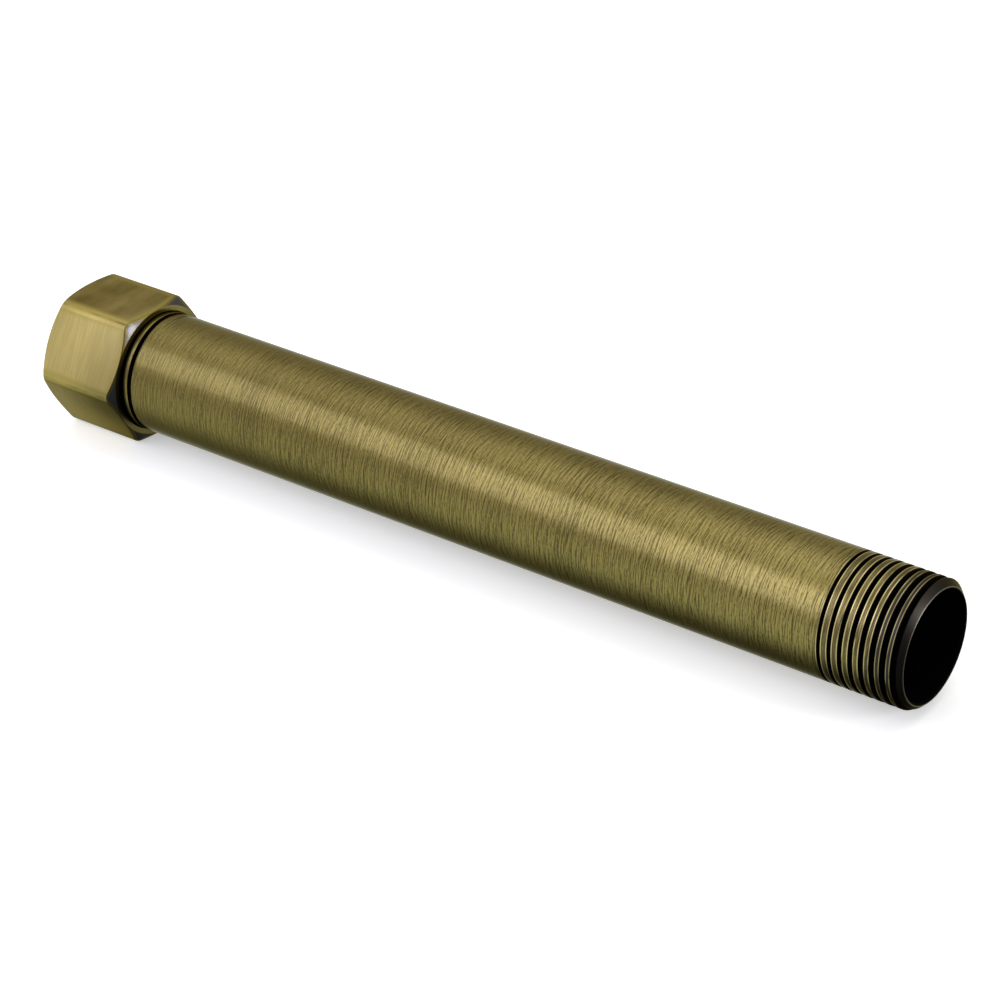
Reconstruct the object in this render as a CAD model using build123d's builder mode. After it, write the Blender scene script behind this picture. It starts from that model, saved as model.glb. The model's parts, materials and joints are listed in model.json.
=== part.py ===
from build123d import *
import math
import os

# Shower arm extension: a brass pipe threaded at both ends, with a hexagonal coupling screwed on one of them.
# The pipe lies along X, outlet thread at +X, coupling at -X. A flat of the coupling lies on Z = 0.

# Pipe thread: 60 degree grooves, crests left on the pipe's own outside, roots on a taper
inch = 25.4
threads_per_inch = 14
thread_pitch = inch / threads_per_inch
thread_flank_angle = 60
thread_root_flat = 0.12
thread_depth_at_end = 0.9
taper_on_diameter = 1 / 16

# Pipe
pipe_od = 20.7
pipe_wall = 1.5
pipe_lip_flat = 0.1
pipe_bore_chamfer = 0.35
outlet_thread_length = 15.0
outlet_thread_lead_in = 1.09
inlet_thread_length = 9.4
inlet_thread_lead_in = 1.16

# Coupling
overall_length = 168.2
coupling_wall_at_flats = 1.1
coupling_length = 16.4
hexagon_sides = 6
corner_round = 1.9
end_chamfer_angle = 60
inlet_rim_inset = 0.4
pipe_side_rim_inset = 0.1
inlet_socket_depth = 9.0
land_thickness = 1.0
land_height = 1.5
inlet_mouth_chamfer = 0.45
pipe_side_mouth_chamfer = 0.1
thread_clearance = 0.05

# Sizes that follow from the ones above
pipe_radius = pipe_od / 2
bore_radius = pipe_radius - pipe_wall
pipe_end_chamfer = pipe_wall - pipe_bore_chamfer - pipe_lip_flat
socket_radius = pipe_radius + thread_clearance
land_radius = socket_radius - land_height
flat_radius = socket_radius + coupling_wall_at_flats
corner_radius = flat_radius / math.cos(math.pi / hexagon_sides)
end_chamfer_slope = math.tan(math.radians(end_chamfer_angle))
inlet_face_radius = flat_radius - inlet_rim_inset
inlet_chamfer_length = (corner_radius - inlet_face_radius) / end_chamfer_slope
pipe_side_face_radius = flat_radius - pipe_side_rim_inset
pipe_side_chamfer_length = (corner_radius - pipe_side_face_radius) / end_chamfer_slope
axis_height = flat_radius
inlet_x = -overall_length / 2
outlet_x = overall_length / 2
coupling_face_x = inlet_x + coupling_length
pipe_inlet_x = inlet_x + inlet_socket_depth + land_thickness
pipe_length = outlet_x - pipe_inlet_x
pipe_socket_depth = coupling_length - inlet_socket_depth - land_thickness
root_cone_angle = math.degrees(math.atan(taper_on_diameter / 2))
flank_slope = math.tan(math.radians(thread_flank_angle / 2))
cutter_height = 2 * thread_depth_at_end


def end_plane(x, direction):
    """Plane across the pipe's axis at x, facing along or against X, its own X level."""
    return Plane(origin=(x, 0, axis_height), x_dir=(0, direction, 0), z_dir=(direction, 0, 0))


def cutter_plane(path):
    """Plane square to the start of a groove's path, its own X pointing away from the pipe's axis."""
    start = path @ 0
    return Plane(origin=start, x_dir=(0, start.Y, start.Z - axis_height), z_dir=path % 0)


# Pipe, cut to length, its four edges chamfered
with BuildPart() as extension_tube:
    with BuildSketch(end_plane(pipe_inlet_x, 1)):
        Circle(pipe_radius)
        Circle(bore_radius, mode=Mode.SUBTRACT)
    extrude(amount=pipe_length)
    rims = extension_tube.edges().filter_by(GeomType.CIRCLE).group_by(SortBy.RADIUS)
    chamfer(rims[-1], length=pipe_end_chamfer)
    chamfer(rims[0], length=pipe_bore_chamfer)

    # Thread groove at each end, from a lead-in just outside the end face inwards
    for end_x, direction, length, lead_in in (
        (outlet_x, -1, outlet_thread_length, outlet_thread_lead_in),
        (pipe_inlet_x, 1, inlet_thread_length, inlet_thread_lead_in),
    ):
        with BuildLine() as groove:
            Helix(
                thread_pitch,
                length + lead_in,
                pipe_radius - thread_depth_at_end,
                center=(end_x - direction * lead_in, 0, axis_height),
                direction=(direction, 0, 0),
                cone_angle=root_cone_angle,
            )
        with BuildSketch(cutter_plane(groove.line)):
            with BuildLine():
                Polyline(
                    (0, -thread_root_flat / 2),
                    (cutter_height, -thread_root_flat / 2 - cutter_height * flank_slope),
                    (cutter_height, thread_root_flat / 2 + cutter_height * flank_slope),
                    (0, thread_root_flat / 2),
                    close=True,
                )
            make_face()
        sweep(path=groove.line, is_frenet=True, mode=Mode.SUBTRACT)
extension_tube.part.label = "extension_tube"

# Coupling, from rounded hexagon bar, turned to a cone at each end, bored from both ends up to a land
with BuildPart() as hex_coupling:
    with BuildSketch(end_plane(inlet_x, 1)) as bar:
        RegularPolygon(flat_radius, hexagon_sides, major_radius=False)
        fillet(bar.vertices(), corner_round)
    extrude(amount=coupling_length)
    with BuildSketch(Plane.XZ):
        with BuildLine():
            Polyline(
                (inlet_x, axis_height),
                (inlet_x, axis_height + inlet_face_radius),
                (inlet_x + inlet_chamfer_length, axis_height + corner_radius),
                (coupling_face_x - pipe_side_chamfer_length, axis_height + corner_radius),
                (coupling_face_x, axis_height + pipe_side_face_radius),
                (coupling_face_x, axis_height),
                close=True,
            )
        make_face()
    revolve(axis=Axis((0, 0, axis_height), (1, 0, 0)), mode=Mode.INTERSECT)
    with Locations(end_plane(inlet_x, -1)):
        CounterBoreHole(land_radius, socket_radius, inlet_socket_depth)
    with BuildSketch(end_plane(coupling_face_x, -1)):
        Circle(socket_radius)
    extrude(amount=pipe_socket_depth, mode=Mode.SUBTRACT)
    faces_by_x = hex_coupling.faces().filter_by(Plane.YZ).sort_by(Axis.X)
    mouths = [face.inner_wires()[0].edges()[0] for face in (faces_by_x[0], faces_by_x[-1])]
    chamfer(mouths[0], length=inlet_mouth_chamfer)
    chamfer(mouths[1], length=pipe_side_mouth_chamfer)
hex_coupling.part.label = "hex_coupling"

os.makedirs("parts", exist_ok=True)
export_step(extension_tube.part, "parts/extension_tube.step")
export_step(hex_coupling.part, "parts/hex_coupling.step")
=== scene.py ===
# %% [markdown]
# # Shower arm extension in aged brass
# A straight pipe with a thread at each end, and a hexagonal coupling screwed on one of them.
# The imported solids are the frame: every piece below is made in the same place and at the same size,
# in metres, with the pipe's axis along X and a flat of the coupling on the floor.

# %% Load the frame
import json
import math

import bmesh
import bpy
from mathutils import Matrix, Quaternion, Vector


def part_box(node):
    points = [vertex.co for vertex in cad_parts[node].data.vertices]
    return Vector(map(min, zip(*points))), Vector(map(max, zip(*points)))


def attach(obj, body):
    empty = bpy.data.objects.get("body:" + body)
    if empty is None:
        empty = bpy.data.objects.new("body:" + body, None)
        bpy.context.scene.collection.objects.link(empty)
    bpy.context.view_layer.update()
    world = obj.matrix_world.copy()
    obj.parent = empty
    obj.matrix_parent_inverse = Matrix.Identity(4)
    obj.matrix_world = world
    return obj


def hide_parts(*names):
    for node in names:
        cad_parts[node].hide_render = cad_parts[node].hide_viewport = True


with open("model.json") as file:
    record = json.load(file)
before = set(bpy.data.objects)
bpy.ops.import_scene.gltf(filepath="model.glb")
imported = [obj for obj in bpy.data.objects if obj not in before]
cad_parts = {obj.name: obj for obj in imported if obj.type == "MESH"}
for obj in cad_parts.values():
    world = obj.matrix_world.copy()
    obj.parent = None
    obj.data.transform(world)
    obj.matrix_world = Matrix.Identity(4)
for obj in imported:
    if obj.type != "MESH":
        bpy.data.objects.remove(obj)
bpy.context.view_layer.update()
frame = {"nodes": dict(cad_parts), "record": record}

print("frame loaded, nodes", sorted(frame["nodes"]))

# %% [markdown]
# ## Sizes
# The frame already knows most sizes: a node's box gives the lengths, and the mounts give the radii.
# Reading them here keeps the dressed model true to the solids. Only what the boxes can't tell,
# such as the thread form and the small edges, is written down again where it is needed.

# %% Read the sizes
MM = 0.001
mounts = {mount["name"]: mount for mount in frame["record"]["mounts"]}
pipe_low, pipe_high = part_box("extension_tube")
coupling_low, coupling_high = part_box("hex_coupling")
axis_z = mounts["waterway"]["pos_m"][2]
pipe_radius = mounts["outlet_thread"]["dims"]["r_mm"] * MM
bore_radius = mounts["waterway"]["dims"]["r_mm"] * MM
socket_radius = mounts["inlet_thread"]["dims"]["r_mm"] * MM
flat_radius = (coupling_high.z - coupling_low.z) / 2
outlet_x = pipe_high.x
pipe_inlet_x = pipe_low.x
coupling_inlet_x = coupling_low.x
coupling_face_x = coupling_high.x
print(f"pipe {(outlet_x - pipe_inlet_x) / MM:.1f} mm long, {2 * pipe_radius / MM:.2f} mm across")

# %% [markdown]
# ## Helpers for round work
# A lathe turns a half section about the axis, so one function does it for every turned shape:
# a few vertices, an edge between each pair, and a full spin whose last step is merged with its first.
# The others round edges with a bevel, close open ends, and pick the vertices out of an operator's result.

# %% Lathe, bevel and closing helpers
STEPS = 128
AXIS = Vector((1, 0, 0))
CENTRE = Vector((0, 0, axis_z))
WELD = 0.001 * MM


def lathe(section, closed):
    """Half section of (x, radius) points, turned once about the pipe's axis."""
    bm = bmesh.new()
    verts = [bm.verts.new((x, 0, axis_z + radius)) for x, radius in section]
    ends = verts[1:] + verts[:1] if closed else verts[1:]
    edges = [bm.edges.new(pair) for pair in zip(verts, ends)]
    bmesh.ops.spin(
        bm, geom=verts + edges, cent=CENTRE, axis=AXIS, angle=math.tau, steps=STEPS, use_merge=True
    )
    bmesh.ops.remove_doubles(bm, verts=bm.verts, dist=WELD)
    bmesh.ops.recalc_face_normals(bm, faces=bm.faces)
    return bm


def round_edges(bm, edges, size, segments, clamp):
    """Edges rounded by a bevel, which stops at its neighbours if it is clamped."""
    bmesh.ops.bevel(
        bm,
        geom=edges,
        offset=size,
        segments=segments,
        profile=0.5,
        affect="EDGES",
        material=-1,
        clamp_overlap=clamp,
    )


def close_ends(bm):
    """Open rings filled, and every face turned outwards."""
    bmesh.ops.holes_fill(bm, edges=[e for e in bm.edges if e.is_boundary], sides=0)
    bmesh.ops.recalc_face_normals(bm, faces=bm.faces)


def only_verts(geom):
    """The vertices among what an operator returns."""
    return [item for item in geom if isinstance(item, bmesh.types.BMVert)]


print(f"lathe of {STEPS} steps ready")

# %% [markdown]
# ## Helpers for objects
# A finished bmesh becomes an object at the origin, with its place in its mesh.
# A Boolean then cuts one object with another. The modifier is applied at once and its tool thrown away,
# so that what is left is plain mesh. At the end a piece is shaded smooth, with its sharp edges kept crisp.


# %% Object and Boolean helpers
def to_object(bm, name):
    """The bmesh as a new object at the origin."""
    mesh = bpy.data.meshes.new(name)
    bm.to_mesh(mesh)
    bm.free()
    piece = bpy.data.objects.new(name, mesh)
    bpy.context.scene.collection.objects.link(piece)
    return piece


def carve(piece, tool, operation):
    """Boolean between a piece and a tool, applied to the piece; the tool is then removed."""
    cut = piece.modifiers.new("carve", "BOOLEAN")
    cut.operation = operation
    cut.solver = "EXACT"
    cut.object = tool
    depsgraph = bpy.context.evaluated_depsgraph_get()
    carved = bpy.data.meshes.new_from_object(piece.evaluated_get(depsgraph))
    piece.modifiers.clear()
    spent = [piece.data, tool.data]
    piece.data = carved
    bpy.data.objects.remove(tool)
    for mesh in spent:
        bpy.data.meshes.remove(mesh)
    carved.name = piece.name


def smooth_but_sharp(piece, angle):
    """Smooth shading, with the edges sharper than the angle kept crisp."""
    bm = bmesh.new()
    bm.from_mesh(piece.data)
    bmesh.ops.remove_doubles(bm, verts=bm.verts, dist=WELD)
    for face in bm.faces:
        face.smooth = True
    for edge in bm.edges:
        edge.smooth = edge.calc_face_angle(0) < angle
    bm.to_mesh(piece.data)
    bm.free()


print("object and Boolean helpers ready")

# %% [markdown]
# ## Pipe thread
# A pipe thread is a V groove wound round the pipe, deepest at the end and fading towards the middle.
# A groove cut by a Boolean would leave raw edges, so the thread is wound instead: the section of one pitch,
# from the middle of a crest to the middle of the next, is spun once with a small step along the axis.
# That turn has moved by one pitch at its end, so copies of it, a pitch apart, share their edges and weld.
# Each vertex remembers its place in the section, and is then moved to the depth that the groove has there.

# %% Thread form
inch_mm = 25.4
threads_per_inch = 14
flank_angle = 60
taper_on_radius = 1 / 32
SIN_30 = 0.5
COS_30 = 0.866
pitch = inch_mm / threads_per_inch * MM
root_flat = 0.12 * MM
flank_slope = math.tan(math.radians(flank_angle / 2))
end_depth = 0.9 * MM
crest_round = 0.09 * MM
full_round_depth = 0.35 * MM
round_middle = (0.1, 0.25)


def half_groove(depth):
    """Points from the groove's root to the middle of the crest: (along the axis, below the crest)."""
    soft = crest_round * min(1, depth / full_round_depth)
    edge = root_flat / 2 + depth * flank_slope
    return (
        (root_flat / 2, depth),
        (edge - soft * SIN_30, soft * COS_30),
        (edge + soft * round_middle[0], soft * round_middle[1]),
        (edge + soft, 0),
        (pitch / 2, 0),
    )


def fade(x, none_x, full_x):
    """Smooth step from 0 at none_x to 1 at full_x."""
    t = min(max((x - none_x) / (full_x - none_x), 0), 1)
    return t * t * (3 - 2 * t)


print(f"thread pitch {pitch / MM:.3f} mm")

# %% [markdown]
# ## Winding
# One function winds every thread of the object: both ends of the pipe, and the plug that taps the coupling.
# It is told the radius of the crests, where the groove passes, and how deep the groove is along the axis.


# %% Wind a thread
def wind_thread(bm, radius, first_groove_x, turns, low_x, high_x, depth_at):
    """Threaded sleeve between low_x and high_x, its groove passing first_groove_x at the top of the pipe."""
    offset = bm.verts.layers.float.new("offset")
    place = bm.verts.layers.int.new("place")
    section = half_groove(end_depth)
    rungs = range(len(section))
    chain = []
    for side, i in [(-1, i) for i in reversed(rungs)] + [(1, i) for i in rungs]:
        vert = bm.verts.new((first_groove_x + side * section[i][0], 0, axis_z + radius))
        vert[offset] = side * section[i][0]
        vert[place] = side * (i + 1)
        chain.append(vert)
    edges = [bm.edges.new(pair) for pair in zip(chain, chain[1:])]
    step = AXIS * pitch / STEPS
    bmesh.ops.spin(bm, geom=chain + edges, cent=CENTRE, axis=AXIS, dvec=step, angle=math.tau, steps=STEPS)
    one_turn = bm.verts[:] + bm.edges[:] + bm.faces[:]
    for turn in range(1, turns):
        copied = bmesh.ops.duplicate(bm, geom=one_turn)["geom"]
        bmesh.ops.translate(bm, verts=only_verts(copied), vec=AXIS * pitch * turn)
    for vert in bm.verts:
        groove_x = vert.co.x - vert[offset]
        along, below = half_groove(depth_at(groove_x))[abs(vert[place]) - 1]
        x = groove_x + math.copysign(along, vert[place])
        spoke = Vector((0, vert.co.y, vert.co.z - axis_z)).normalized()
        vert.co = CENTRE + spoke * (radius - below) + AXIS * min(max(x, low_x), high_x)
    bmesh.ops.remove_doubles(bm, verts=bm.verts, dist=WELD)
    return bm


print("thread winder ready")

# %% [markdown]
# ## The pipe
# The pipe is a length of drawn brass with a thread wound on each end.
# Each groove starts a little outside its end and fades out before the plain length begins.
# It gets shallower on the way, because the roots of a pipe thread lie on a taper.

# %% Place the two threads
outlet_lead_in = 1.09 * MM
outlet_turns = 12
outlet_turns_inside = 10.5
outlet_groove_x = outlet_x + outlet_lead_in - outlet_turns_inside * pitch
outlet_plain_x = outlet_x - 16.6 * MM
outlet_runout = (outlet_x - 15.4 * MM, outlet_x - 14.5 * MM)
inlet_lead_in = 1.16 * MM
inlet_turns = 10
inlet_turns_outside = 2
inlet_groove_x = pipe_inlet_x - inlet_lead_in - inlet_turns_outside * pitch
inlet_plain_x = pipe_inlet_x + 10.6 * MM
inlet_runout = (pipe_inlet_x + 9.8 * MM, pipe_inlet_x + 8.94 * MM)
overrun = 2.6 * MM
lead_out = (1.7 * MM, 0.7 * MM)


def outlet_depth(x):
    """Groove depth at the outlet end, on the pipe taper, fading out towards the plain length."""
    tapered = end_depth - taper_on_radius * max(outlet_x - x, 0)
    return tapered * fade(x, *outlet_runout) * fade(x - outlet_x, *lead_out)


def inlet_depth(x):
    """Groove depth at the coupling's end, on the same taper."""
    tapered = end_depth - taper_on_radius * max(x - pipe_inlet_x, 0)
    return tapered * fade(x, *inlet_runout) * fade(pipe_inlet_x - x, *lead_out)


print(f"plain length {(outlet_plain_x - inlet_plain_x) / MM:.1f} mm")

# %% [markdown]
# ## The rod
# Two sleeves are wound, and the plain length between them is one ring of edges, extruded from sleeve to
# sleeve. Both sleeves have the same number of steps, so the rings weld, and the ends are closed with a face.


# %% Wind both threads and join them into a rod
def edge_ring(bm, x):
    """Open edges that lie across the pipe at x."""
    return [e for e in bm.edges if e.is_boundary and all(abs(v.co.x - x) < WELD for v in e.verts)]


def add_sleeve(rod, *values):
    """Wind a sleeve and add it to the rod's bmesh."""
    sleeve = wind_thread(bmesh.new(), *values)
    mesh = bpy.data.meshes.new("sleeve")
    sleeve.to_mesh(mesh)
    sleeve.free()
    rod.from_mesh(mesh)
    bpy.data.meshes.remove(mesh)


rod = bmesh.new()
add_sleeve(
    rod, pipe_radius, outlet_groove_x, outlet_turns, outlet_plain_x, outlet_x + overrun, outlet_depth
)
add_sleeve(
    rod, pipe_radius, inlet_groove_x, inlet_turns, pipe_inlet_x - overrun, inlet_plain_x, inlet_depth
)
grown = bmesh.ops.extrude_edge_only(rod, edges=edge_ring(rod, inlet_plain_x))
bmesh.ops.translate(rod, verts=only_verts(grown["geom"]), vec=AXIS * (outlet_plain_x - inlet_plain_x))
bmesh.ops.remove_doubles(rod, verts=rod.verts, dist=WELD)
close_ends(rod)
print("rod faces", len(rod.faces), "open edges", sum(e.is_boundary for e in rod.edges))
pipe = to_object(rod, "pipe")

# %% [markdown]
# ## Ends and bore of the pipe
# The real pipe's ends are turned: a chamfer outside, a smaller one in the bore, and a thin lip between them.
# All of that is one half section, turned into a blank whose rims get a tiny round to catch the light.
# The rod is intersected with the blank, which trims the threads the way a lathe tool would.

# %% Turn the blank and trim the rod with it
pipe_end_chamfer = 1.05 * MM
pipe_bore_chamfer = 0.35 * MM
lip_round = 0.04 * MM
blank_spare = 0.5 * MM
rim_angle = math.radians(20)
crisp_angle = math.radians(35)

chamfer_run = pipe_end_chamfer + blank_spare
half_blank = [
    (pipe_inlet_x + pipe_bore_chamfer, bore_radius),
    (pipe_inlet_x, bore_radius + pipe_bore_chamfer),
    (pipe_inlet_x, pipe_radius - pipe_end_chamfer),
    (pipe_inlet_x + chamfer_run, pipe_radius + blank_spare),
    (outlet_x - chamfer_run, pipe_radius + blank_spare),
    (outlet_x, pipe_radius - pipe_end_chamfer),
    (outlet_x, bore_radius + pipe_bore_chamfer),
    (outlet_x - pipe_bore_chamfer, bore_radius),
]
blank = lathe(half_blank, closed=True)
rims = [e for e in blank.edges if e.calc_face_angle(0) > rim_angle]
round_edges(blank, rims, lip_round, segments=3, clamp=True)
carve(pipe, to_object(blank, "pipe_blank"), "INTERSECT")
smooth_but_sharp(pipe, crisp_angle)
print("pipe faces", len(pipe.data.polygons))

# %% [markdown]
# ## The coupling
# The coupling is cut from hexagon bar: a six-sided circle, extruded, with its long edges rolled round
# by a bevel whose reach along each flat follows from the round's radius.

# %% Hexagon bar
HEX_SIDES = 6
half_side_angle = math.pi / HEX_SIDES
corner_round = 1.9 * MM
corner_radius = flat_radius / math.cos(half_side_angle)

bar = bmesh.new()
across = Matrix.Translation((coupling_inlet_x, 0, axis_z)) @ Matrix.Rotation(math.pi / 2, 4, "Y")
bmesh.ops.create_circle(bar, cap_ends=True, segments=HEX_SIDES, radius=corner_radius, matrix=across)
grown = bmesh.ops.extrude_face_region(bar, geom=bar.faces[:], use_keep_orig=True)
bmesh.ops.translate(bar, verts=only_verts(grown["geom"]), vec=AXIS * (coupling_face_x - coupling_inlet_x))
bmesh.ops.recalc_face_normals(bar, faces=bar.faces)
long_edges = [e for e in bar.edges if abs(e.verts[0].co.x - e.verts[1].co.x) > WELD]
round_edges(bar, long_edges, corner_round * math.tan(half_side_angle), segments=10, clamp=False)
coupling = to_object(bar, "coupling")
print(f"hexagon bar {2 * flat_radius / MM:.1f} mm across flats")

# %% [markdown]
# ## Turned ends of the coupling
# Turning the ends leaves the curved facets at the corners, so the bar is intersected with a turned blank.
# The edges that this leaves are rubbed soft by a small bevel before the bores are cut.

# %% Turn the ends and rub the edges
inlet_face_radius = flat_radius - 0.4 * MM
face_radius = flat_radius - 0.1 * MM
end_slope = math.tan(math.radians(60))
rim_radius = corner_radius + blank_spare
worn_edge = 0.16 * MM
worn_angle = math.radians(14)

turned = lathe(
    [
        (coupling_inlet_x, 0),
        (coupling_inlet_x, inlet_face_radius),
        (coupling_inlet_x + (rim_radius - inlet_face_radius) / end_slope, rim_radius),
        (coupling_face_x - (rim_radius - face_radius) / end_slope, rim_radius),
        (coupling_face_x, face_radius),
        (coupling_face_x, 0),
    ],
    closed=False,
)
carve(coupling, to_object(turned, "coupling_blank"), "INTERSECT")

soft = bmesh.new()
soft.from_mesh(coupling.data)
bmesh.ops.remove_doubles(soft, verts=soft.verts, dist=WELD)
worn = [e for e in soft.edges if e.calc_face_angle(0) > worn_angle]
round_edges(soft, worn, worn_edge, segments=2, clamp=True)
soft.to_mesh(coupling.data)
soft.free()
print("coupling outside faces", len(coupling.data.polygons))

# %% [markdown]
# ## Bores of the coupling
# The pipe screws in from one side and a wall pipe from the other, up to a land in the middle.
# A turned tool cuts the pipe's socket, the land and the two mouths in one go.

# %% Drill the sockets
land_low_x = coupling_inlet_x + 9.0 * MM
land_high_x = pipe_inlet_x
land_radius = socket_radius - 1.5 * MM
inlet_mouth = 0.45 * MM
pipe_side_mouth = 0.1 * MM
tap_depth = 0.85 * MM

drill = lathe(
    [
        (coupling_inlet_x - inlet_mouth, 0),
        (coupling_inlet_x - inlet_mouth, socket_radius + 2 * inlet_mouth),
        (coupling_inlet_x + inlet_mouth, socket_radius),
        (coupling_inlet_x + inlet_mouth + tap_depth, land_radius),
        (land_high_x, land_radius),
        (land_high_x, socket_radius),
        (coupling_face_x - pipe_side_mouth, socket_radius),
        (coupling_face_x + pipe_side_mouth, socket_radius + 2 * pipe_side_mouth),
        (coupling_face_x + pipe_side_mouth, 0),
    ],
    closed=False,
)
carve(coupling, to_object(drill, "coupling_drill"), "DIFFERENCE")
print("drilled coupling faces", len(coupling.data.polygons))

# %% [markdown]
# ## Inlet thread of the coupling
# The female thread is the same wound sleeve as before, closed into a plug and subtracted:
# what is a groove on the plug is a crest in the hole.

# %% Tap the inlet
tap_turns = 10
tap_turns_outside = 3
tap_groove_x = coupling_inlet_x - tap_turns_outside * pitch
tap_runout = (land_low_x - 0.2 * MM, land_low_x - 1.1 * MM)


def tap_groove(x):
    """Groove depth on the plug, gone before its two ends so that they close as plain discs."""
    return tap_depth * fade(coupling_inlet_x - x, *lead_out) * fade(x, *tap_runout)


tap = bmesh.new()
wind_thread(tap, socket_radius, tap_groove_x, tap_turns, coupling_inlet_x - overrun, land_low_x, tap_groove)
close_ends(tap)
carve(coupling, to_object(tap, "coupling_tap"), "DIFFERENCE")
smooth_but_sharp(coupling, crisp_angle)
print("coupling faces", len(coupling.data.polygons))

# %% [markdown]
# ## Shader maths in plain expressions
# A finish is a recipe of numbers that change over the surface. Written node by node it is hard to read,
# so a small class wraps a socket: arithmetic on it adds Math nodes, and one method adds any other node.


# %% Socket arithmetic
class Wire:
    """An output socket in a finish, with arithmetic that adds Math nodes."""

    def __init__(self, tree, socket=None):
        self.tree = tree
        self.socket = socket

    def node(self, kind, settings=None, output=0, **sockets):
        """Any other node: type, settings, then values or links by socket name, spaces as underscores."""
        node = self.tree.nodes.new(kind)
        for name, value in (settings or {}).items():
            setattr(node, name, value)
        for name, value in sockets.items():
            key = int(name[1:]) if name[1:].isdigit() else name.replace("_", " ")
            self.plug(node.inputs[key], value)
        return Wire(self.tree, node.outputs[output])

    def plug(self, target, value):
        """A link into the target socket, or a plain value set on it."""
        if isinstance(value, Wire):
            self.tree.links.new(value.socket, target)
        else:
            target.default_value = value

    def math(self, operation, *values):
        """A Math node on the values, in their order."""
        sockets = {f"_{i}": value for i, value in enumerate(values)}
        return self.node("ShaderNodeMath", {"operation": operation}, **sockets)

    def __add__(self, other):
        return self.math("ADD", self, other)

    def __sub__(self, other):
        return self.math("SUBTRACT", self, other)

    def __rsub__(self, other):
        return self.math("SUBTRACT", other, self)

    def __mul__(self, other):
        return self.math("MULTIPLY", self, other)

    def __truediv__(self, other):
        return self.math("DIVIDE", self, other)

    __radd__ = __add__
    __rmul__ = __mul__

    def step(self, none, full):
        """Smooth step of this value, from 0 at none to 1 at full."""
        settings = {"interpolation_type": "SMOOTHSTEP"}
        return self.node("ShaderNodeMapRange", settings, Value=self, From_Min=none, From_Max=full)

    def tint(self, first, second):
        """Colour mixed from first to second by this value."""
        return self.node("ShaderNodeMix", {"data_type": "RGBA"}, 2, _0=self, _6=first, _7=second)


print("socket arithmetic ready")

# %% [markdown]
# ## Starting and ending a finish
# Every finish starts from an empty material and the surface's own place, and ends in one principled shader.
# Places are in millimetres from the pipe's axis, so the recipes below can speak of radii and lengths.


# %% Start and end a finish
def start_finish(name):
    """A new, empty material, and the surface's place in millimetres from the pipe's axis."""
    finish = bpy.data.materials.new(name)
    finish.use_nodes = True
    tree = finish.node_tree
    tree.nodes.clear()
    wire = Wire(tree)
    place = wire.node("ShaderNodeTexCoord", output=3)
    place = wire.node(
        "ShaderNodeMapping", Vector=place, Location=(0, 0, -axis_z / MM), Scale=(1 / MM, 1 / MM, 1 / MM)
    )
    return finish, wire, place


def axes(wire, place):
    """The place's three parts, each as a value."""
    node = wire.node("ShaderNodeSeparateXYZ", Vector=place).socket.node
    return [Wire(wire.tree, output) for output in node.outputs]


def end_finish(wire, **sockets):
    """The principled shader and the output that close a finish."""
    shader = wire.node("ShaderNodeBsdfPrincipled", **sockets)
    output = wire.tree.nodes.new("ShaderNodeOutputMaterial")
    wire.tree.links.new(shader.socket, output.inputs["Surface"])


print("finish helpers ready")

# %% [markdown]
# ## Brushed grain
# Both pieces were brushed with the belt running round them, so the grain is fine along the axis and long
# across it. A noise texture gives that when its axes are scaled apart: many cycles for each millimetre
# along X, few along Y and Z. Such noise also has soft clouds that a belt doesn't leave, so a second helper
# takes away the same grain, moved by one streak: the clouds cancel, and the narrow streaks stay.

# %% Lay the grain
STREAK_CONTRAST = 0.7


def grain(wire, place, along, across, detail=2.0, lean=0.0):
    """Noise from 0 to 1, its features so many millimetres long along the axis and across it."""
    leaning = wire.node("ShaderNodeMapping", Vector=place, Rotation=(0, lean, lean))
    stretched = wire.node("ShaderNodeMapping", Vector=leaning, Scale=(1 / along, 1 / across, 1 / across))
    return wire.node("ShaderNodeTexNoise", Vector=stretched, Scale=1.0, Detail=detail, Roughness=0.55)


def streaks(wire, place, along, across, detail, lean):
    """Grain less the same grain moved by one streak along the axis."""
    moved = wire.node("ShaderNodeMapping", Vector=place, Location=(along, 0, 0))
    still = grain(wire, place, along, across, detail, lean)
    change = still - grain(wire, moved, along, across, detail, lean)
    return 0.5 + change * STREAK_CONTRAST


print("grain ready")

# %% [markdown]
# ## Brushed brass of the pipe
# Aged brass: browned in a bath, brushed back to metal where the belt reaches, then lacquered.
# Fine and coarse streaks, speckle and broad clouds add up to one tone, which mixes two browns.
# The belt pressed less beside the coupling, and a brighter highlight is painted in, paler towards the
# outlet.

# %% Streaks of the pipe
streak_dark = (0.08, 0.061, 0.015, 1)
streak_bright = (0.24, 0.187, 0.052, 1)
scratch_brown = (0.05, 0.038, 0.011, 1)
outlet_highlight_brass = (0.32, 0.260, 0.080, 1)


def pipe_streaks(wire, place, x):
    """The brushed colour with a painted highlight towards the outlet, and the three grains that the rest of
    the finish uses again.
    """
    fine = streaks(wire, place, 0.17, 2.8, 1.0, lean=0.05)
    coarse = streaks(wire, place, 0.36, 4.0, 1.0, lean=-0.04)
    speckle = grain(wire, place, 0.22, 0.5, 1.0)
    broad = grain(wire, place, 5.0, 24.0)
    flecks = grain(wire, place, 0.15, 2.6, 3.0, lean=-0.05)
    tone = fine * 0.52 + coarse * 0.31 + speckle * 0.22 + broad * 0.12
    pressed = 0.6 + x.step(-75, -20) * 0.4
    streak = 0.5 + (tone.step(0.46, 0.70) - 0.5) * pressed
    colour = streak.tint(streak_dark, streak_bright)
    scratch = flecks.step(0.59, 0.69)
    colour = (scratch * 0.65).tint(colour, scratch_brown)
    # Painted highlight: the brass is painted paler towards the outlet, where the highlight is brighter.
    outlet_highlight = x.step(-30, 80) * streak
    colour = (outlet_highlight * 0.6).tint(colour, outlet_highlight_brass)
    return colour, fine, coarse, flecks


print("pipe streaks ready")
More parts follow.
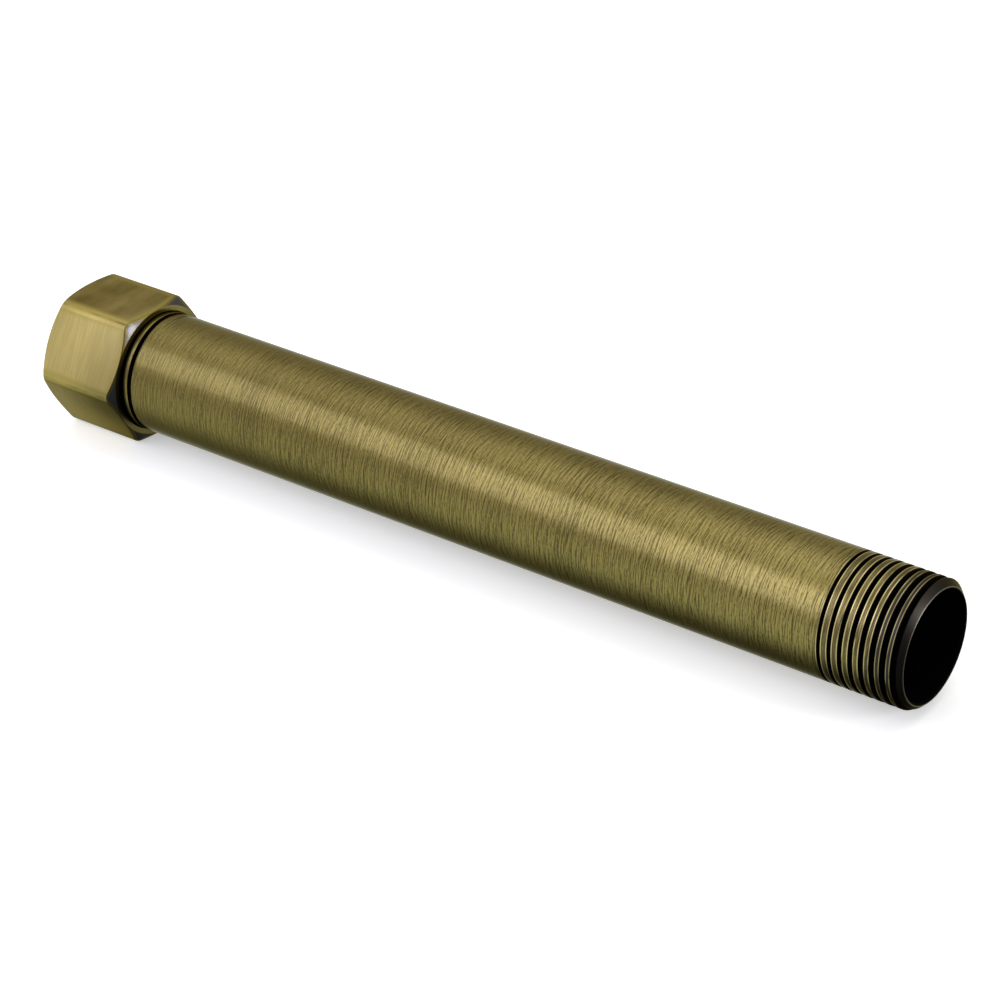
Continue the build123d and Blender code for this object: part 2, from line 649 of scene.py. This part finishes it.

# %% [markdown]
# ## Finish of the pipe
# The grooves and the bore keep the black of the bath, the crests' edges are rubbed bright with a painted
# highlight, and the last turns and the lip stay dark bronze because the belt stopped short of them.
# The lip's end face is painted pale grey as an edge highlight.
# The sum that wound the thread, place along the axis plus angle round it, also finds its crests.

# %% Pipe brass
crest_brown = (0.06, 0.044, 0.020, 1)
last_turn_bronze = (0.034, 0.029, 0.025, 1)
crest_edge_highlight_brass = (0.60, 0.50, 0.22, 1)
lip_highlight_grey = (0.25, 0.24, 0.21, 1)
groove_black = (0.003, 0.003, 0.003, 1)
lacquered_brass = {"Metallic": 1.0, "Specular_Tint": (0.64, 0.58, 0.42, 1), "Coat_Roughness": 0.08}
brush_depth = 0.01 * MM


def beyond_groove(wire, x, y, z, from_lip):
    """Millimetres from the edge of the nearest groove, above 0 on the crests."""
    helix = (x - outlet_groove_x / MM) / (pitch / MM) + wire.math("ARCTAN2", y, z) / math.tau
    from_groove = wire.math("ABSOLUTE", wire.math("FRACT", helix + 0.5) - 0.5) * (pitch / MM)
    half_width = (root_flat / 2 + end_depth * flank_slope) / MM - from_lip * (taper_on_radius * flank_slope)
    return from_groove - half_width


def pipe_brass():
    """Streaked brown brass, with black grooves and bore, rubbed crests with a painted highlight, bronze last
    turns and a lip painted grey as a highlight.
    """
    finish, wire, place = start_finish("brushed_pipe_brass")
    x, y, z = axes(wire, place)
    below = pipe_radius / MM - wire.math("SQRT", y * y + z * z)
    from_lip = outlet_x / MM - x
    chamfer = pipe_end_chamfer / MM
    colour, fine, coarse, flecks = pipe_streaks(wire, place, x)
    on_crest = beyond_groove(wire, x, y, z, from_lip)
    threaded = 1 - from_lip.step(14.2, 15.0)
    bronze = 1 - (from_lip + (coarse - 0.5) * 5.0).step(3.8, 7.2)
    crest_brown_and_top_shade = threaded * on_crest.step(0.12, 0.24)
    colour = (crest_brown_and_top_shade * (0.3 + flecks * 0.6)).tint(colour, crest_brown)
    colour = bronze.tint(colour, last_turn_bronze)
    # Crest edges: rubbed brass with a painted highlight, as a rounded edge would catch the light.
    rubbed_and_highlight = threaded * on_crest.step(-0.02, 0.05) * (1 - on_crest.step(0.12, 0.20))
    rubbed_and_highlight = rubbed_and_highlight * coarse.step(0.2, 0.55) * from_lip.step(chamfer, chamfer + 0.2)
    colour = (rubbed_and_highlight * (1 - bronze * 0.5)).tint(colour, crest_edge_highlight_brass)
    lip_gap = below + from_lip - chamfer
    groove = below.step(0.02, 0.05) * lip_gap.step(0.03, 0.09)
    # Painted highlight: the lip's end face is painted pale grey.
    lip_edge_highlight = 1 - from_lip.step(0.04, 0.10)
    colour = (lip_edge_highlight * 0.7).tint(colour, lip_highlight_grey)
    black = wire.math("MAXIMUM", groove * (1 - lip_edge_highlight), below.step(1.16, 1.20))
    end_finish(
        wire,
        Base_Color=black.tint(colour, groove_black),
        Roughness=0.28 + bronze * 0.12 + black * 0.3,
        Normal=wire.node("ShaderNodeBump", Strength=0.05, Distance=brush_depth, Height=fine),
        Coat_Weight=(1 - black) * (1 - bronze) * 0.22,
        **lacquered_brass,
    )
    return finish


pipe.data.materials.append(pipe_brass())
print("pipe finish", pipe.data.materials[0].name)

# %% [markdown]
# ## Brushed brass of the coupling
# The same brass, brushed further back, so it is paler and yellower. The belt ran across each flat.
# The top flat has painted shade, a darker brown, and the brass underneath has painted light, the yellowest.
# The distance from the axis square to the nearest flat tells the flats from the rolled corners.

# %% Flats of the coupling
flat_dark = (0.36, 0.281, 0.098, 1)
flat_bright = (0.59, 0.472, 0.181, 1)
top_painted_shade = (0.125, 0.092, 0.024, 1)
underside_painted_light = (0.56, 0.41, 0.10, 1)


def square_to_flat(wire, y, z):
    """Millimetres from the axis, square to the nearest pair of flats."""
    across_flats = wire.math("ABSOLUTE", z)
    for lean in (SIN_30, -SIN_30):
        across_flats = wire.math("MAXIMUM", across_flats, wire.math("ABSOLUTE", y * COS_30 + z * lean))
    return across_flats


def coupling_flats(z, fine, coarse, broad):
    """The flats' colour and streaks, with painted shade on the top flat and painted light on the underside.
    """
    tone = fine * 0.55 + coarse * 0.2 + broad * 0.3
    streak = 0.5 + (tone.step(0.34, 0.74) - 0.5) * 0.62
    colour = streak.tint(flat_dark, flat_bright)
    # Painted shade: the top flat is painted darker brown.
    crest_brown_and_top_shade = z.step(flat_radius / MM - 0.5, flat_radius / MM - 0.1) * (1.25 - broad)
    colour = crest_brown_and_top_shade.tint(colour, top_painted_shade)
    # Painted light: the underside is painted yellower.
    underside_light = 1 - z.step(-9.0, -3.0)
    colour = (underside_light * 0.8).tint(colour, underside_painted_light)
    return colour, streak, crest_brown_and_top_shade, underside_light


print("coupling flats ready")

# %% [markdown]
# ## Inside of the coupling
# The bores were never brushed. The inlet's thread has painted light and shade: dark brass on its crests,
# near black between, and everything behind it, with the pipe's socket, keeps the black of the bath.

# %% Bores of the coupling
bath_black = (0.004, 0.004, 0.004, 1)
painted_crest_light_brass = (0.17, 0.133, 0.05, 1)


def coupling_bores(x, radius):
    """Where the bores are, and their colour."""
    socket = socket_radius / MM
    land_x = pipe_inlet_x / MM
    inside = 1 - radius.step(socket + 0.02, socket + 0.12)
    tapped = 1 - x.step(land_x - 1.2, land_x - 0.8)
    # Painted light and shade: the thread's crests are painted lighter than its valleys.
    painted_ridge_light = 1 - radius.step(socket - 0.7, socket - 0.1)
    return inside, (tapped * (0.15 + painted_ridge_light * 0.85)).tint(bath_black, painted_crest_light_brass)


print("coupling bores ready")

# %% [markdown]
# ## Finish of the coupling
# The rolled corners and the rims are rubbed yellow, with a painted highlight on the corners, and a painted
# dark reflection along each corner. The brass gets duller towards the pipe, the turned facets there are
# grey, and the face round the pipe has painted shade on its lower side.

# %% Coupling brass
rubbed_highlight_yellow = (0.36, 0.282, 0.075, 1)
dull_brass = (0.13, 0.100, 0.030, 1)
corner_dark_reflection = (0.10, 0.078, 0.022, 1)
facet_grey = (0.12, 0.115, 0.122, 1)
face_painted_shade = (0.07, 0.05, 0.022, 1)


def coupling_brass():
    """Pale streaked flats, rubbed corners with a painted highlight and a painted dark reflection, grey
    facets, painted shade on the face, and dark bores.
    """
    finish, wire, place = start_finish("rubbed_coupling_brass")
    x, y, z = axes(wire, place)
    radius = wire.math("SQRT", y * y + z * z)
    face_x = coupling_face_x / MM
    rim = face_radius / MM
    fine = grain(wire, place, 0.17, 6.0)
    coarse = grain(wire, place, 0.5, 9.0)
    broad = grain(wire, place, 4.0, 8.0)
    colour, streak, crest_brown_and_top_shade, underside_light = coupling_flats(z, fine, coarse, broad)
    across_flats = square_to_flat(wire, y, z)
    rolled = flat_radius / MM - across_flats
    along_flat = wire.math("SQRT", radius * radius - across_flats * across_flats)
    from_cone = (face_x - x) * end_slope + rim - radius
    # Rubbed corners and rims, with a painted highlight on the rolled corners.
    rubbed_and_highlight = wire.math("MAXIMUM", along_flat.step(4.7, 5.7), 1 - from_cone.step(0.5, 2.2))
    colour = (rubbed_and_highlight * 0.7).tint(colour, rubbed_highlight_yellow)
    near_pipe = x.step(coupling_inlet_x / MM + 4.0, face_x - 1.0) * (1 - crest_brown_and_top_shade) * (1 - underside_light)
    colour = (near_pipe * 0.6).tint(colour, dull_brass)
    # Painted dark reflection: a dark line down the middle of each rolled corner.
    corner_reflection_line = rolled.step(0.13, 0.25) * from_cone.step(0.2, 0.4) * broad.step(0.35, 0.65)
    colour = (corner_reflection_line * 0.55).tint(colour, corner_dark_reflection)
    facet = (1 - wire.math("ABSOLUTE", from_cone).step(0.03, 0.08)) * rolled.step(0.28, 0.6)
    facet = facet * radius.step(rim, rim + 0.1)
    colour = facet.tint(colour, facet_grey)
    # Painted shade: the face round the pipe is painted dark below, where it mirrors the pipe.
    shaded_face = x.step(face_x - 0.06, face_x - 0.03) * (1 - z.step(3.0, 9.5))
    colour = (shaded_face * 0.8).tint(colour, face_painted_shade)
    inside, bore_colour = coupling_bores(x, radius)
    brushed = fine * 0.7 + coarse * 0.3
    end_finish(
        wire,
        Base_Color=inside.tint(colour, bore_colour),
        Roughness=0.27 + (1 - streak) * 0.1 + inside * 0.3,
        Normal=wire.node("ShaderNodeBump", Strength=0.25, Distance=brush_depth, Height=brushed),
        Coat_Weight=(1 - inside) * 0.1,
        **lacquered_brass,
    )
    return finish


coupling.data.materials.append(coupling_brass())
print("coupling finish", coupling.data.materials[0].name)

# %% [markdown]
# ## Dress the frame
# Each piece takes the place of its solid and rides on the part's one body.

# %% Replace the solids
for piece, node, slot in (
    (pipe, "extension_tube", "tube_brass"),
    (coupling, "hex_coupling", "coupling_brass"),
):
    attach(piece, "root")
    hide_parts(node)
    print(piece.name, "replaces", node)

# %% [markdown]
# ## Floor
# The floor is plain and pale, wide enough to have no edge in any view, and it glows a little so that it
# renders white. The brass doesn't mirror it: the sky below the horizon gives its underside instead.

# %% Lay the floor
floor_size = 60.0
floor_mesh = bmesh.new()
bmesh.ops.create_grid(floor_mesh, x_segments=1, y_segments=1, size=floor_size / 2)
floor = to_object(floor_mesh, "floor")
floor.visible_glossy = False
floor_paint, floor_wire, _ = start_finish("floor_paint")
end_finish(
    floor_wire,
    Base_Color=(0.9, 0.9, 0.9, 1),
    Roughness=0.9,
    Emission_Color=(1, 1, 1, 1),
    Emission_Strength=0.4,
)
floor.data.materials.append(floor_paint)
print("floor", floor_size, "m wide")

# %% [markdown]
# ## Sky
# Metal looks like what it mirrors, so the sky is drawn with care: bright, brighter overhead, and fading
# below the horizon. It is shaded at the outlet's end, dimmer at the back, and has two slightly darker
# bands in front, one low and one high, which give the pipe its soft stripes.
# Where the camera sees the sky itself it is plain white, so that no horizon shows above the floor.

# %% Paint the sky
world = bpy.data.worlds.new("soft_sky")
bpy.context.scene.world = world
world.use_nodes = True
background = world.node_tree.nodes["Background"]
sky = Wire(world.node_tree)
sky_x, sky_y, sky_z = axes(sky, sky.node("ShaderNodeTexCoord", output=0))
sky_glow = 0.03 + sky_z.step(-1.0, -0.45) * 0.97 + sky_z.step(0.45, 0.95) * 0.5
sky_shade = sky_x.step(0.1, 0.7) * (1 - sky_y.step(0.3, 0.6) * (1 - sky_y.step(0.7, 0.9)))
sky_back = sky_y.step(0.2, 0.9) * sky_z.step(-0.4, 0.0)
low_band = sky_z.step(-0.1, 0.1) * (1 - sky_z.step(0.25, 0.45)) * (1 - sky_y.step(-0.4, 0.0))
high_band = sky_y.step(-0.42, -0.27) * (1 - sky_y.step(-0.12, 0.05)) * sky_z.step(0.6, 0.75)
sky_glow = sky_glow * (1 - sky_back * 0.4) * (1 - low_band * 0.17)
sky_glow = sky_glow * (1 - high_band * 0.2) * (1 - sky_shade * 0.88)
seen = sky.node("ShaderNodeLightPath")
sky.plug(background.inputs["Strength"], sky_glow * (1 - seen) + seen)
sky.plug(background.inputs["Color"], sky_z.step(-0.6, 0.3).tint((0.95, 1.04, 0.96, 1), (1, 1, 1, 1)))
print("sky nodes", len(world.node_tree.nodes))

# %% [markdown]
# ## Softboxes
# A wide, cool softbox above the front, rolled a little, draws the bright band along the pipe.
# A small one beyond the outlet's end lights the crests of the thread and the lip.


# %% Hang the softboxes
def aim(item, place, target, roll):
    """Item put at place, facing the target, and turned about its line of sight by the roll in degrees."""
    facing = (Vector(target) - Vector(place)).to_track_quat("-Z", "Y")
    item.location = place
    item.rotation_euler = (facing @ Quaternion((0, 0, 1), math.radians(roll))).to_euler()
    bpy.context.scene.collection.objects.link(item)


def softbox(name, place, target, size, power, colour=(1, 1, 1), roll=0.0):
    """Rectangular area light at place, facing the target."""
    light = bpy.data.lights.new(name, "AREA")
    light.shape = "RECTANGLE"
    light.size, light.size_y = size
    light.energy = power
    light.color = colour
    aim(bpy.data.objects.new(name, light), place, target, roll)


softbox(
    "front_softbox",
    place=(-0.40, -0.48, 0.49),
    target=(-0.40, 0, axis_z),
    size=(0.7, 0.46),
    power=1.22,
    colour=(0.95, 0.98, 1.35),
    roll=-28,
)
softbox("side_softbox", place=(0.77, 0.16, 0.29), target=(0, 0, 0), size=(0.22, 0.22), power=2)
print("lights", len(bpy.data.lights))

# %% [markdown]
# ## Camera
# The camera looks down on the outlet end through a long lens, which keeps the pipe's sides nearly parallel.
# Its place, aim, roll and focal length were fitted to the pipe's outline and to the oval of its open end.

# %% Set up the camera
lens = bpy.data.cameras.new("long_lens")
lens.sensor_width = 36
lens.lens = 119.83
camera = bpy.data.objects.new("camera", lens)
camera_place = Vector((281.8, -361.0, 284.1)) * MM
camera_aim = Vector((4.3, 0.0, 9.8)) * MM
aim(camera, camera_place, camera_aim, roll=-1.85)
bpy.context.scene.camera = camera
bpy.context.scene.view_settings.view_transform = "Standard"
print("camera at", [round(part, 3) for part in camera.location])

# %% [markdown]
# ## Update the scene
# The view layer is updated once more before the frame closes.

# %% Update the scene
bpy.context.view_layer.update()
